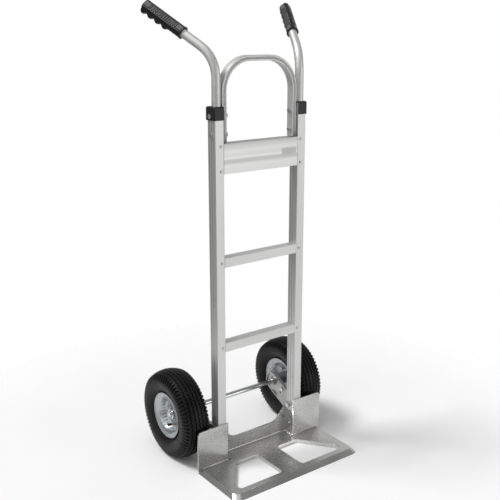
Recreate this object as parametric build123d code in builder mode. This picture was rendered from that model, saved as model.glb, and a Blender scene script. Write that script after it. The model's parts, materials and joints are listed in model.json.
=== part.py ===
from build123d import *
from math import cos, radians, sin, sqrt
import os

# Aluminium hand truck, standing upright.
# Millimetres. +Z up, +X across to the right-hand wheel, the load side faces -Y.
# The origin is on the floor, at the centre of the overall footprint.

os.makedirs("parts", exist_ok=True)

# ---- side rails --------------------------------------------------------------
rail_span = 310.0            # across the outer faces of the two rails
rail_width = 28.0
rail_depth = 35.2
rail_wall = 1.7
rail_corner = 1.6
rail_foot_z = 14.0
rail_top_z = 1038.0
side_recess = 0.5            # shallow panel along each side face
side_recess_width = 22.0
side_groove = 1.2            # fine groove down the middle of the recess

# ---- crosspieces -------------------------------------------------------------
panel_height = 82.6
panel_bottom_z = 862.0
panel_wall = 2.6
panel_depth = 30.0
panel_rivet_spacing = 67.0
bar_height = 27.0
bar_depth = 30.0
bar_wall = 2.2
bar_heights = (365.0, 615.0)
tongue_thickness = 2.6       # end tab that slips inside a rail
tongue_margin = 4.5          # tab set in from the crosspiece's top and bottom
tongue_reach = 20.0
rivet_inset = 10.0           # from the rail's inner face to the rivet
rivet_head_radius = 4.5
rivet_head_height = 2.0
rivet_shank_radius = 2.4
label_width = 50.0
label_height = 19.0
label_thickness = 0.4
label_inset = 6.0

# ---- handles -----------------------------------------------------------------
tube_wall = 2.2
tube_foot_z = 950.0
bend_start_z = 1116.0
bend_radius = 93.5
handle_rise = 32.0           # slope of the straight end above horizontal
handle_splay = 27.3          # turned outwards from straight back
grip_start = 60.2            # along the straight end
grip_length = 136.0
grip_radius = 16.6
grip_end_round = 2.5
grip_collar_radius = 18.2
grip_collar = 4.0
grip_end_wall = 5.0
finger_count = 4
finger_first = 54.4          # from the grip's mouth to its first finger ridge
finger_pitch = 25.2
finger_thickness = 6.8
finger_radius = 12.0
finger_drop = 10.0           # centre of the ridges below the grip's axis
loop_width = 15.0            # section of the loop handle, across
loop_depth = 25.0
loop_wall = 2.2
loop_setback = 6.4
loop_top_z = 1171.0
loop_bend_radius = 85.5
loop_groove = 2.4            # shallow groove along the loop's front and back
cap_height = 36.0
cap_top = 4.0
cap_side = 3.0
cap_front = 2.0
cap_back = 4.5
cap_round = 5.0              # rounded outer edge along the cap's top
handle_bolt_heights = (966.0, 1016.8)

# ---- nose plate --------------------------------------------------------------
toe_reach = 187.0            # rim of the toe plate ahead of the rails' front plane
toe_width = 454.0
toe_height = 12.0
toe_wall = 5.0
rim_run_front = 16.0         # horizontal run of the sloping front lip
rim_run_side = 10.0
toe_corner = 20.0
wing_span = 457.2
wing_height = 130.0
wing_corner = 14.0
plate_wall = 5.0
heel_depth = 35.2            # how far the heel is set back between the rails
web_low_z = 54.0
web_high_z = 110.0
web_flat = 62.0              # half length of the web's low straight edge
web_knee = 102.0
web_knee_z = 76.0
window_bar = 72.0            # bar between the two windows
window_back_y = 30.0
window_front_y = 151.5
window_back_x = 112.0
window_front_x = 187.0
window_shoulder = 24.0
window_corner = 11.0
window_rim = 3.5
relief_radius = 3.5
bend_fillet = 3.0            # inside the bends along the toe plate
nose_bolt_heights = (52.0, 105.0)
nose_bolt_setback = 20.0

# ---- wheels and axle ---------------------------------------------------------
tyre_diameter = 266.7
tyre_width = 86.0
tyre_wall = 6.0
wheel_stand_out = 59.1       # from a rail's outer face to the middle of its wheel
tyre_clearance = 6.25        # front of the tyres behind the rails' front plane
axle_radius = 7.94
axle_overhang = 23.9         # of the axle's end beyond the middle of a wheel
bead_radius = 51.0
flange_radius = 68.5
rim_half_width = 33.5
rim_sheet = 2.0
hub_radius = 19.0
hub_bore_radius = 14.0
hub_inner = 49.0             # hub end nearest the bracket, from the wheel's middle
hub_outer = 14.0
bearing_radius = 17.0
bearing_width = 7.0
inner_race_radius = 10.6
outer_race_bore = 14.4
ball_radius = 2.2
ball_count = 10
ball_gap = 0.3
cage_thickness = 1.2
cage_width = 5.6
seal_thickness = 1.0
rim_bolt_circle = 33.0
rim_bolt_count = 4
valve_offset = 12.0
valve_angle = 210.0
valve_radius = 2.6
valve_hole_gap = 0.4
valve_knee_radius = 40.0     # where the stem turns outwards
valve_reach = 43.0
valve_tip_radius = 31.0
valve_cap_radius = 3.6
valve_cap_length = 12.0
bracket_thickness = 6.0
bracket_head_radius = 30.0
bracket_top_drop = 9.35       # front of the plate's top edge, below the axle
bracket_foot_z = 40.0
bracket_inset = 2.0
bracket_slope = 0.5          # rise of the arm towards the axle
bracket_lip = 3.0
bracket_lip_depth = 4.5
bracket_boss_radius = 14.0
bracket_boss_length = 8.0
spare_holes = ((-22.6, 12.65), (-38.6, -25.35))  # back and up from the axle
spare_hole_radius = 4.2
lock_bolt = (-47.6, -11.35)  # the bolt through the arm, likewise

# ---- fasteners and fits ------------------------------------------------------
bolt_radius = 4.0
bolt_hex = 13.0              # across flats
bolt_head = 5.0
nut_height = 5.5
bolt_tail = 1.5
washer_thickness = 2.4
washer_radius = 15.0
pin_radius = 1.6
pin_length = 26.0
hole_gap = 0.2               # radial, bolts and rivets in their holes
slip_gap = 0.1               # sliding fits between seated pieces
running_gap = 0.05           # radial, races on the axle
wheel_gap = 0.6              # between the turning hub and what stands beside it
accessory_hole_radius = 2.0
accessory_hole_spacing = 17.0
accessory_hole_z = 492.0
accessory_hole_setback = 14.6
inner_hole_setback = 9.7
inner_hole_z = 200.6

# ---- places worked out from the sizes above ----------------------------------
axle_z = tyre_diameter / 2
axle_setback = tyre_diameter / 2 + tyre_clearance
wheel_x = rail_span / 2 + wheel_stand_out
axle_length = 2 * (wheel_x + axle_overhang)
front_y = (toe_reach - axle_setback - tyre_diameter / 2) / 2
axle_y = front_y + axle_setback
rail_out = rail_span / 2
rail_in = rail_out - rail_width
rail_x = rail_out - rail_width / 2
rail_mid_y = front_y + rail_depth / 2
tube_radius = rail_width / 2 - rail_wall - slip_gap
tube_y = front_y + rail_wall + slip_gap + tube_radius
cavity_y = front_y + rail_wall + slip_gap
panel_mid_z = panel_bottom_z + panel_height / 2
rivet_x = rail_in + rivet_inset
bracket_x = rail_out + slip_gap
bracket_out = bracket_x + bracket_thickness
bracket_top_z = axle_z - bracket_top_drop
lock_bolt_y = axle_y + lock_bolt[0]
lock_bolt_z = axle_z + lock_bolt[1]
cap_top_z = rail_top_z + slip_gap + cap_top
loop_y = front_y + loop_setback + loop_depth / 2
loop_x = rail_in - slip_gap - loop_width / 2
loop_foot_z = panel_bottom_z + panel_height + 1.0
wheel_axis = Axis((wheel_x, axle_y, axle_z), (1, 0, 0))
wheel_section = Plane((wheel_x, axle_y, axle_z), x_dir=(1, 0, 0), z_dir=(0, -1, 0))
ball_circle = (inner_race_radius + outer_race_bore) / 2
groove_radius = ball_radius + ball_gap
bearing_places = (
    -hub_inner + seal_thickness + wheel_gap + bearing_width / 2,
    hub_outer - seal_thickness - wheel_gap - bearing_width / 2,
)


def save(piece, label):
    piece.part.label = label
    export_step(piece.part, f"parts/{label}.step")


def save_pair(piece, label):
    """Write the right-hand piece and its mirror image."""
    save(piece, f"right_{label}")
    with BuildPart() as twin:
        mirror(piece.part, about=Plane.YZ)
    save(twin, f"left_{label}")


def across(x, y, z):
    """Plane facing +X at a point, local x along +Y and local y along +Z."""
    return Plane((x, y, z), x_dir=(0, 1, 0), z_dir=(1, 0, 0))


def facing(x, y, z):
    """Plane facing -Y at a point, local x along +X and local y along +Z."""
    return Plane((x, y, z), x_dir=(1, 0, 0), z_dir=(0, -1, 0))


def axle_plane(offset):
    """Plane facing +X on the wheel's axis, a distance out from the wheel's middle."""
    return across(wheel_x + offset, axle_y, axle_z)


def drill(plane, radius, depth, mode=Mode.SUBTRACT):
    """Round hole or pin that starts on a plane and runs along its normal."""
    with BuildSketch(plane) as round_face:
        Circle(radius)
    extrude(round_face.sketch, amount=depth, mode=mode)


# ---- rails -------------------------------------------------------------------
with BuildPart() as rail:
    with BuildSketch(Plane((rail_x, rail_mid_y, rail_foot_z))) as rail_profile:
        RectangleRounded(rail_width, rail_depth, rail_corner)
        Rectangle(rail_width - 2 * rail_wall, rail_depth - 2 * rail_wall, mode=Mode.SUBTRACT)
        with Locations((rail_width / 2, 0), (-rail_width / 2, 0)):
            Rectangle(2 * side_recess, side_recess_width, mode=Mode.SUBTRACT)
            Rectangle(4 * side_recess, side_groove, mode=Mode.SUBTRACT)
    extrude(amount=rail_top_z - rail_foot_z)
    # slots in the inner wall for the crosspieces' tabs
    slot_y = cavity_y + tongue_thickness / 2
    slot_width = tongue_thickness + 2 * slip_gap
    for height, z in [(panel_height, panel_mid_z)] + [(bar_height, z) for z in bar_heights]:
        with BuildSketch(across(rail_in - slip_gap, slot_y, z)):
            Rectangle(slot_width, height - 2 * tongue_margin + 2 * slip_gap)
        extrude(amount=rail_wall + 2 * slip_gap, mode=Mode.SUBTRACT)
    # rivet holes in the front wall
    rivet_heights = [panel_mid_z + side * panel_rivet_spacing / 2 for side in (-1, 1)] + list(bar_heights)
    for z in rivet_heights:
        drill(facing(rivet_x, front_y + rail_wall + slip_gap, z), rivet_shank_radius + hole_gap, 2 * rail_wall)
    # bolts that pass right through from side to side
    for z in handle_bolt_heights:
        drill(across(rail_in - 1, rail_mid_y, z), bolt_radius + hole_gap, rail_width + 2)
    for z in nose_bolt_heights:
        drill(across(rail_in - 1, front_y + nose_bolt_setback, z), bolt_radius + hole_gap, rail_width + 2)
    # accessory holes in the outer wall and one drain hole in the inner wall
    for z in (accessory_hole_z, accessory_hole_z + accessory_hole_spacing):
        drill(across(rail_x, front_y + accessory_hole_setback, z), accessory_hole_radius, rail_width)
    drill(across(rail_in - 1, front_y + inner_hole_setback, inner_hole_z), accessory_hole_radius, rail_width / 2)
save_pair(rail, "rail")


# ---- crosspieces between the rails -------------------------------------------
def crosspiece(height, middle_z, depth, wall, ribs, rivets):
    """Extruded box section between the rails with a riveted tab at each end."""
    length = 2 * (rail_in - slip_gap)
    with BuildPart() as piece:
        with BuildSketch(across(-length / 2, front_y + depth / 2, middle_z)):
            RectangleRounded(depth, height, 1.0)
            Rectangle(depth - 2 * wall, height - 2 * wall, mode=Mode.SUBTRACT)
            if ribs:
                with GridLocations(0, height / ribs, 1, ribs - 1):
                    with Locations((-depth / 2, 0)):
                        Rectangle(0.6, 1.6, mode=Mode.SUBTRACT)
        extrude(amount=length)
        with BuildSketch(across(-rail_in - tongue_reach, cavity_y + tongue_thickness / 2, middle_z)):
            Rectangle(tongue_thickness, height - 2 * tongue_margin)
        extrude(amount=2 * (rail_in + tongue_reach))
        for z in rivets:
            for x in (-rivet_x, rivet_x):
                drill(facing(x, cavity_y + 2 * tongue_thickness, z), rivet_shank_radius + hole_gap,
                      3 * tongue_thickness)
    return piece


upper_panel = crosspiece(panel_height, panel_mid_z, panel_depth, panel_wall, 5, rivet_heights[:2])
save(upper_panel, "upper_panel")
for name, z in zip(("lower_crossbar", "upper_crossbar"), bar_heights):
    save(crosspiece(bar_height, z, bar_depth, bar_wall, 0, [z]), name)

with BuildPart() as panel_label:
    label_x = rail_in - label_inset - label_width / 2
    label_z = panel_mid_z + 3.5
    with BuildSketch(facing(label_x, front_y, label_z)):
        RectangleRounded(label_width, label_height, 1.5)
    extrude(amount=label_thickness)
save(panel_label, "panel_label")


def rivet_at(x, z):
    """Domed blind rivet through a rail's front wall and the tab behind it."""
    grip = rail_wall + slip_gap + tongue_thickness
    with BuildSketch(Plane((x, front_y, z))) as half_section:
        with BuildLine():
            dome = ThreePointArc((0, -rivet_head_height), (0.62 * rivet_head_radius, -0.72 * rivet_head_height),
                                 (rivet_head_radius, 0))
            Polyline(dome @ 1, (rivet_shank_radius, 0), (rivet_shank_radius, grip),
                     (1.4 * rivet_shank_radius, grip), (rivet_shank_radius, grip + 1.8),
                     (0, grip + 1.8), dome @ 0)
        make_face()
    revolve(half_section.sketch, axis=Axis((x, front_y, z), (0, 1, 0)))


with BuildPart() as panel_rivets:
    for z in rivet_heights[:2]:
        for x in (-rivet_x, rivet_x):
            rivet_at(x, z)
save(panel_rivets, "panel_rivets")

with BuildPart() as crossbar_rivets:
    for z in bar_heights:
        for x in (-rivet_x, rivet_x):
            rivet_at(x, z)
save(crossbar_rivets, "crossbar_rivets")

# ---- handle tubes and grips --------------------------------------------------
rise = radians(handle_rise)
splay = radians(handle_splay)
bend_run = bend_radius * (1 - sin(rise))
bend_z = bend_start_z + bend_radius * cos(rise)


def handle_point(run, z):
    """Point in the handle's own upright plane, a run outwards and back from the tube's axis."""
    return (rail_x + run * sin(splay), tube_y + run * cos(splay), z)


def straight_point(distance):
    """Point on the axis of the handle's straight end."""
    return handle_point(bend_run + distance * cos(rise), bend_z + distance * sin(rise))


straight_way = Vector(*straight_point(1)) - Vector(*straight_point(0))
grip_plane = Plane(straight_point(grip_start), x_dir=(cos(splay), -sin(splay), 0), z_dir=straight_way)
tube_end = grip_start + grip_length - grip_end_wall - slip_gap

with BuildPart() as handle_tube:
    with BuildLine() as handle_path:
        upright = Line((rail_x, tube_y, tube_foot_z), handle_point(0, bend_start_z))
        mid_turn = (radians(90) - rise) / 2
        middle = handle_point(bend_radius * (1 - cos(mid_turn)), bend_start_z + bend_radius * sin(mid_turn))
        bend = ThreePointArc(upright @ 1, middle, straight_point(0))
        Line(bend @ 1, straight_point(tube_end))
    with BuildSketch(Plane((rail_x, tube_y, tube_foot_z))):
        Circle(tube_radius)
        Circle(tube_radius - tube_wall, mode=Mode.SUBTRACT)
    sweep()
    for z in handle_bolt_heights:
        drill(across(rail_in - 1, rail_mid_y, z), bolt_radius + hole_gap, rail_width + 2)
save_pair(handle_tube, "handle_tube")

with BuildPart() as grip:
    with BuildSketch(grip_plane):
        Circle(grip_radius)
    extrude(amount=grip_length)
    fillet(grip.faces().sort_by(Axis(grip_plane.origin, grip_plane.z_dir))[-1].edges(), grip_end_round)
    drill(grip_plane, grip_collar_radius, grip_collar, Mode.ADD)
    # finger ridges under the grip
    for index in range(finger_count):
        with BuildSketch(grip_plane.offset(finger_first + index * finger_pitch)):
            with Locations((0, finger_drop)):
                Circle(finger_radius)
        extrude(amount=finger_thickness / 2, both=True)
    drill(grip_plane, tube_radius + slip_gap, grip_length - grip_end_wall)
save_pair(grip, "grip")

# ---- loop handle -------------------------------------------------------------
with BuildPart() as loop_handle:
    top_z = loop_top_z - loop_width / 2
    with BuildLine():
        FilletPolyline((-loop_x, loop_y, loop_foot_z), (-loop_x, loop_y, top_z), (loop_x, loop_y, top_z),
                       (loop_x, loop_y, loop_foot_z), radius=loop_bend_radius)
    with BuildSketch(Plane((-loop_x, loop_y, loop_foot_z))):
        RectangleRounded(loop_width, loop_depth, 2.0)
        Rectangle(loop_width - 2 * loop_wall, loop_depth - 2 * loop_wall, mode=Mode.SUBTRACT)
        with Locations((0, -loop_depth / 2), (0, loop_depth / 2)):
            Rectangle(loop_groove, loop_groove, mode=Mode.SUBTRACT)
    sweep()
    for z in handle_bolt_heights:
        drill(across(-rail_in - 1, rail_mid_y, z), bolt_radius + hole_gap, 2 * rail_in + 2)
save(loop_handle, "loop_handle")

# ---- rail caps ---------------------------------------------------------------
with BuildPart() as rail_cap:
    cap_width = rail_width + cap_side
    cap_depth = rail_depth + cap_front + cap_back
    cap_bottom_z = cap_top_z - cap_height
    cap_mid_y = front_y + (rail_depth + cap_back - cap_front) / 2
    with BuildSketch(Plane((rail_in + cap_width / 2, cap_mid_y, cap_bottom_z))):
        Rectangle(cap_width, cap_depth)
    extrude(amount=cap_height)
    outer_edges = rail_cap.edges().filter_by(Axis.Z).group_by(Axis.X)[-1]
    fillet(outer_edges, 3.0)
    top_edges = rail_cap.edges().group_by(Axis.Z)[-1]
    fillet(top_edges.filter_by(Axis.Y).sort_by(Axis.X)[-1], cap_round)
    with BuildSketch(Plane((rail_x - 1, rail_mid_y, cap_bottom_z))):
        Rectangle(rail_width + 2 + 2 * slip_gap, rail_depth + 2 * slip_gap)
    extrude(amount=cap_height - cap_top, mode=Mode.SUBTRACT)
    drill(Plane((rail_x, tube_y, cap_bottom_z)), tube_radius + slip_gap, 2 * cap_height)
    # seat for the upper handle bolt's head
    head_z = handle_bolt_heights[1]
    drill(across(rail_out - 1, rail_mid_y, head_z), bolt_radius + hole_gap, 2 * cap_side)
    drill(across(rail_out + cap_side - 1.6, rail_mid_y, head_z), bolt_hex * 0.66, 2 * cap_side)
save_pair(rail_cap, "rail_cap")


# ---- bolts and nuts ----------------------------------------------------------
def bolt(plane, length, flats=bolt_hex, radius=bolt_radius, head=bolt_head):
    """Hex bolt: head stands out along the plane's normal, shank runs back the other way."""
    with BuildSketch(plane) as hexagon:
        RegularPolygon(flats / 2, 6, major_radius=False)
    extrude(hexagon.sketch, amount=head)
    drill(plane, radius, -length, Mode.ADD)


def nut(plane, flats=bolt_hex, radius=bolt_radius, height=nut_height):
    """Hex nut that stands out along the plane's normal."""
    with BuildSketch(plane) as hexagon:
        RegularPolygon(flats / 2, 6, major_radius=False)
        Circle(radius + slip_gap / 2, mode=Mode.SUBTRACT)
    extrude(hexagon.sketch, amount=height)


loop_inner_x = loop_x - loop_width / 2
handle_seats = (rail_out, rail_out + cap_side - 1.6)
with BuildPart() as handle_bolts:
    for z, seat in zip(handle_bolt_heights, handle_seats):
        length = seat - loop_inner_x + slip_gap + nut_height + bolt_tail
        bolt(across(seat, rail_mid_y, z), length)
    mirror(about=Plane.YZ)
save(handle_bolts, "handle_bolts")

with BuildPart() as handle_nuts:
    for z in handle_bolt_heights:
        nut(Plane((loop_inner_x, rail_mid_y, z), x_dir=(0, 1, 0), z_dir=(-1, 0, 0)))
    mirror(about=Plane.YZ)
save(handle_nuts, "handle_nuts")

# ---- nose plate --------------------------------------------------------------
flange_x = rail_in - slip_gap - plate_wall
heel_y = front_y + heel_depth + slip_gap
wing_front_y = front_y - slip_gap - plate_wall


def toe_outline(inset, lift):
    """Outline of the toe plate at a height, drawn in by the sloping lip and a wall."""
    share = lift / toe_height
    half_width = toe_width / 2 - rim_run_side * share - inset
    reach = toe_reach - rim_run_front * share - inset
    with BuildSketch(Plane((0, front_y - slip_gap, lift))) as outline:
        with Locations((0, -reach / 2)):
            Rectangle(2 * half_width, reach)
        fillet(outline.vertices().group_by(Axis.Y)[0], toe_corner - inset / 2)
    return outline.sketch


def window_outline(side, grow):
    """One window of the toe plate, widened all round."""
    with BuildSketch(Plane((0, front_y, 1.0))) as window:
        with BuildLine():
            Polyline((side * window_bar / 2, -window_back_y), (side * window_back_x, -window_back_y),
                     (side * window_front_x, -window_front_y + window_shoulder),
                     (side * window_front_x, -window_front_y),
                     (side * window_bar / 2, -window_front_y), close=True)
        make_face()
        if grow:
            offset(amount=grow, kind=Kind.INTERSECTION, mode=Mode.REPLACE)
        fillet(window.vertices(), window_corner + grow)
    return window.sketch


with BuildPart() as nose_plate:
    loft([toe_outline(0, 0), toe_outline(0, toe_height)])
    loft([toe_outline(toe_wall, 0), toe_outline(toe_wall, toe_height - toe_wall)], mode=Mode.SUBTRACT)
    # ribs turned down round the windows, then the windows themselves
    for side in (1, -1):
        extrude(window_outline(side, window_rim), amount=toe_height - 1.0)
        extrude(window_outline(side, 0), amount=toe_height - 1.0, mode=Mode.SUBTRACT)
    # floor of the heel, run back between the rails
    with BuildSketch(Plane((0, front_y + heel_depth / 2 - plate_wall / 2, toe_height - toe_wall))):
        Rectangle(2 * flange_x + 2 * plate_wall, heel_depth + plate_wall + 2 * slip_gap)
    extrude(amount=toe_wall)
    # web across the back of the heel
    with BuildSketch(facing(0, heel_y + plate_wall, 0)):
        with BuildLine():
            half_web = rail_in - slip_gap
            low = Line((-web_flat, web_low_z), (web_flat, web_low_z))
            curve = Spline(low @ 1, (web_knee, web_knee_z), (half_web, web_high_z),
                           tangents=((1, 0), (0.35, 1)))
            Polyline(curve @ 1, (half_web, toe_height - toe_wall), (-half_web, toe_height - toe_wall),
                     (-half_web, web_high_z))
            Spline((-half_web, web_high_z), (-web_knee, web_knee_z), low @ 0, tangents=((0.35, -1), (1, 0)))
        make_face()
    extrude(amount=plate_wall)
    for side in (1, -1):
        # wing across the rail's face and its flange along the rail's inner side
        with BuildSketch(facing(side * (flange_x + wing_span / 2) / 2, front_y - slip_gap, 0)) as wing:
            with Locations((0, (toe_height - toe_wall + wing_height) / 2)):
                Rectangle(wing_span / 2 - flange_x, wing_height - toe_height + toe_wall)
            outer_corner = wing.vertices().group_by(Axis.Z)[-1].sort_by(Axis.X)[-1 if side > 0 else 0]
            fillet(outer_corner, wing_corner)
        extrude(amount=plate_wall)
        with BuildSketch(Plane((side * (flange_x + plate_wall / 2), 0, toe_height - toe_wall))):
            with Locations((0, (front_y - slip_gap + heel_y) / 2)):
                Rectangle(plate_wall, heel_y - front_y + slip_gap)
        extrude(amount=web_high_z - toe_height + toe_wall)
        for z in nose_bolt_heights:
            drill(across(side * (flange_x + plate_wall / 2) - plate_wall, front_y + nose_bolt_setback, z),
                  bolt_radius + hole_gap, 2 * plate_wall)
        # relief where wing, heel and toe plate meet
        relief_x = side * (flange_x - relief_radius - 1)
        drill(Plane((relief_x, front_y - plate_wall, 0)), relief_radius, 2 * toe_height)
    bends = nose_plate.edges().filter_by(Axis.Z).filter_by_position(Axis.Y, front_y - plate_wall - 0.2,
                                                                   front_y - plate_wall)
    inner_bends = [edge for edge in bends if abs(abs(edge.center().X) - flange_x) < 0.01 and edge.length > 50]
    fillet(inner_bends, plate_wall - 0.6)
    floor_edges = [edge for edge in nose_plate.edges().filter_by(Axis.X)
                   if abs(edge.center().Z - toe_height) < 0.01]
    wing_bends = [edge for edge in floor_edges if abs(edge.center().Y - wing_front_y) < 0.01]
    heel_bends = [edge for edge in floor_edges if abs(edge.center().Y - heel_y) < 0.01]
    fillet(wing_bends + heel_bends, bend_fillet)
save(nose_plate, "nose_plate")

# ---- wheel brackets ----------------------------------------------------------
with BuildPart() as wheel_bracket:
    head_y = axle_setback
    arm = sqrt(1 + bracket_slope ** 2)
    low_touch = (head_y + bracket_head_radius * bracket_slope / arm, axle_z - bracket_head_radius / arm)
    high_touch = (head_y - bracket_head_radius * bracket_slope / arm, axle_z + bracket_head_radius / arm)
    knee_y = high_touch[0] - (high_touch[1] - bracket_top_z) / bracket_slope
    rail_back_z = low_touch[1] - bracket_slope * (low_touch[0] - rail_depth)
    with BuildSketch(across(bracket_x, front_y, 0)) as bracket_face:
        with BuildLine():
            Polyline((bracket_inset, bracket_foot_z), (rail_depth, rail_back_z), low_touch, high_touch,
                     (knee_y, bracket_top_z), (bracket_inset, bracket_top_z), close=True)
        make_face()
        with Locations((head_y, axle_z)):
            Circle(bracket_head_radius)
        front_corners = bracket_face.vertices().group_by(Axis.X)[0]
        fillet(front_corners, 4.0)
    extrude(amount=bracket_thickness)
    # stiffening lip turned in along the edges behind the rail
    with BuildSketch(across(bracket_x, front_y, 0)):
        add(bracket_face.sketch_local)
        offset(bracket_face.sketch_local, amount=-bracket_lip, mode=Mode.SUBTRACT)
        with Locations((rail_depth + slip_gap, axle_z)):
            Rectangle(2 * rail_depth + bracket_lip, 2 * axle_z, align=(Align.MAX, Align.CENTER), mode=Mode.SUBTRACT)
    extrude(amount=-bracket_lip_depth)
    drill(across(bracket_x, axle_y, axle_z), bracket_boss_radius, -bracket_boss_length, Mode.ADD)
    drill(across(bracket_x - bracket_boss_length - 1, axle_y, axle_z), axle_radius + slip_gap, 40)
    for z in nose_bolt_heights:
        drill(across(bracket_x - 1, front_y + nose_bolt_setback, z), bolt_radius + hole_gap, 20)
    for back, up in spare_holes:
        drill(across(bracket_x - 1, axle_y + back, axle_z + up), spare_hole_radius, 20)
    drill(across(bracket_x - 1, lock_bolt_y, lock_bolt_z), bolt_radius + hole_gap, 20)
save_pair(wheel_bracket, "wheel_bracket")

with BuildPart() as bracket_bolts:
    length = bracket_thickness + slip_gap + nut_height + bolt_tail
    bolt(Plane((bracket_x, lock_bolt_y, lock_bolt_z), x_dir=(0, 1, 0), z_dir=(-1, 0, 0)), length)
    mirror(about=Plane.YZ)
save(bracket_bolts, "bracket_bolts")

with BuildPart() as bracket_nuts:
    nut(across(bracket_out + slip_gap, lock_bolt_y, lock_bolt_z))
    mirror(about=Plane.YZ)
save(bracket_nuts, "bracket_nuts")

with BuildPart() as nose_bolts:
    length = bracket_out + slip_gap + nut_height + bolt_tail - flange_x
    for z in nose_bolt_heights:
        seat = Plane((flange_x, front_y + nose_bolt_setback, z), x_dir=(0, 1, 0), z_dir=(-1, 0, 0))
        bolt(seat, length)
    mirror(about=Plane.YZ)
save(nose_bolts, "nose_bolts")

with BuildPart() as nose_nuts:
    for z in nose_bolt_heights:
        nut(across(bracket_out + slip_gap, front_y + nose_bolt_setback, z))
    mirror(about=Plane.YZ)
save(nose_nuts, "nose_nuts")

# ---- axle --------------------------------------------------------------------
pin_x = wheel_x + hub_outer + wheel_gap + washer_thickness + slip_gap + pin_radius
with BuildPart() as axle:
    drill(across(-axle_length / 2, axle_y, axle_z), axle_radius, axle_length, Mode.ADD)
    chamfer(axle.edges(), 1.2)
    for x in (-pin_x, pin_x):
        drill(Plane((x, axle_y, 0)), pin_radius + slip_gap, 2 * axle_z)
save(axle, "axle")

with BuildPart() as axle_washers:
    spacer = wheel_x - hub_inner - wheel_gap - bracket_out - slip_gap
    for x, thickness in ((bracket_out + slip_gap, spacer), (wheel_x + hub_outer + wheel_gap, washer_thickness)):
        drill(across(x, axle_y, axle_z), washer_radius, thickness, Mode.ADD)
        drill(across(x - 1, axle_y, axle_z), axle_radius + running_gap, thickness + 2)
    mirror(about=Plane.YZ)
save(axle_washers, "axle_washers")

with BuildPart() as cotter_pins:
    drill(Plane((pin_x, axle_y, axle_z - pin_length / 2)), pin_radius, pin_length, Mode.ADD)
    with BuildSketch(Plane((pin_x, axle_y, axle_z + pin_length / 2), x_dir=(0, 1, 0), z_dir=(1, 0, 0))) as eye:
        with Locations((0, pin_radius)):
            Circle(2.4 * pin_radius)
            Circle(1.1 * pin_radius, mode=Mode.SUBTRACT)
    extrude(amount=0.7 * pin_radius, both=True)
    mirror(about=Plane.YZ)
save(cotter_pins, "cotter_pins")

# ---- wheels ------------------------------------------------------------------
bead_side = rim_half_width - 7.0      # where the tyre's bead meets the rim's flange
tread_radius = tyre_diameter / 2
sidewall_foot = flange_radius + 1.0
section_middle = (bead_radius + tread_radius) / 2 + 7.0
shoulder = (tyre_width / 2 - 6.0, tread_radius - 9.0)


with BuildPart() as tyre:
    with BuildSketch(wheel_section):
        with BuildLine():
            side = tyre_width / 2
            foot = Polyline((bead_side - tyre_wall, bead_radius + slip_gap), (bead_side, bead_radius + slip_gap),
                            (bead_side, bead_radius + tyre_wall), (bead_side + 2, bead_radius + tyre_wall + 2),
                            (bead_side + 2, sidewall_foot))
            outer = ThreePointArc(foot @ 1, (side, section_middle), shoulder)
            crown = ThreePointArc(outer @ 1, (0, tread_radius), (-shoulder[0], shoulder[1]))
            far = ThreePointArc(crown @ 1, (-side, section_middle), (-bead_side - 2, sidewall_foot))
            far_foot = Polyline(far @ 1, (-bead_side - 2, bead_radius + tyre_wall + 2),
                                (-bead_side, bead_radius + tyre_wall), (-bead_side, bead_radius + slip_gap),
                                (-bead_side + tyre_wall, bead_radius + slip_gap),
                                (-bead_side + tyre_wall, sidewall_foot - tyre_wall))
            inner = ThreePointArc(far_foot @ 1, (-side + tyre_wall, section_middle),
                                  (-shoulder[0] + tyre_wall, shoulder[1] - tyre_wall))
            roof = ThreePointArc(inner @ 1, (0, tread_radius - tyre_wall - 2),
                                 (shoulder[0] - tyre_wall, shoulder[1] - tyre_wall))
            near = ThreePointArc(roof @ 1, (side - tyre_wall, section_middle),
                                 (bead_side - tyre_wall, sidewall_foot - tyre_wall))
            Line(near @ 1, foot @ 0)
        make_face()
    revolve(axis=wheel_axis)
save_pair(tyre, "tyre")

tube_middle = (bead_radius + tread_radius - tyre_wall) / 2
tube_height = (tread_radius - tyre_wall - bead_radius) / 2 - 3.5
tube_half_width = tyre_width / 2 - 16.0
with BuildPart() as inner_tube:
    with BuildSketch(wheel_section):
        with Locations((0, tube_middle)):
            Ellipse(tube_half_width, tube_height)
            Ellipse(tube_half_width - 2, tube_height - 2, mode=Mode.SUBTRACT)
    revolve(axis=wheel_axis)
save_pair(inner_tube, "inner_tube")

seat_out = bead_side + slip_gap
seat_in = bead_radius - rim_sheet
lip_in = seat_out + 2 * rim_sheet
half_rim = [
    (0, hub_radius + slip_gap), (0, bead_radius - 7), (7, bead_radius), (seat_out, bead_radius),
    (seat_out, bead_radius + tyre_wall), (seat_out + 2, bead_radius + tyre_wall + 2),
    (seat_out + 2, flange_radius - 2.5), (seat_out + 4, flange_radius), (rim_half_width, flange_radius),
    (rim_half_width, flange_radius - rim_sheet), (lip_in + 0.8, flange_radius - rim_sheet - 0.4),
    (lip_in, flange_radius - 4.5), (lip_in, bead_radius + tyre_wall + 1),
    (lip_in - 2, bead_radius + tyre_wall - 1), (lip_in - 2, seat_in), (8, seat_in),
    (rim_sheet, bead_radius - 8), (rim_sheet, hub_radius + slip_gap),
]
valve_rise = radians(valve_angle)
valve_down = (cos(valve_rise), sin(valve_rise))


def valve_point(offset, radius):
    """Point beside the wheel's middle, at a radius in the valve's direction."""
    return (wheel_x + offset, axle_y + radius * valve_down[0], axle_z + radius * valve_down[1])


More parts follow.
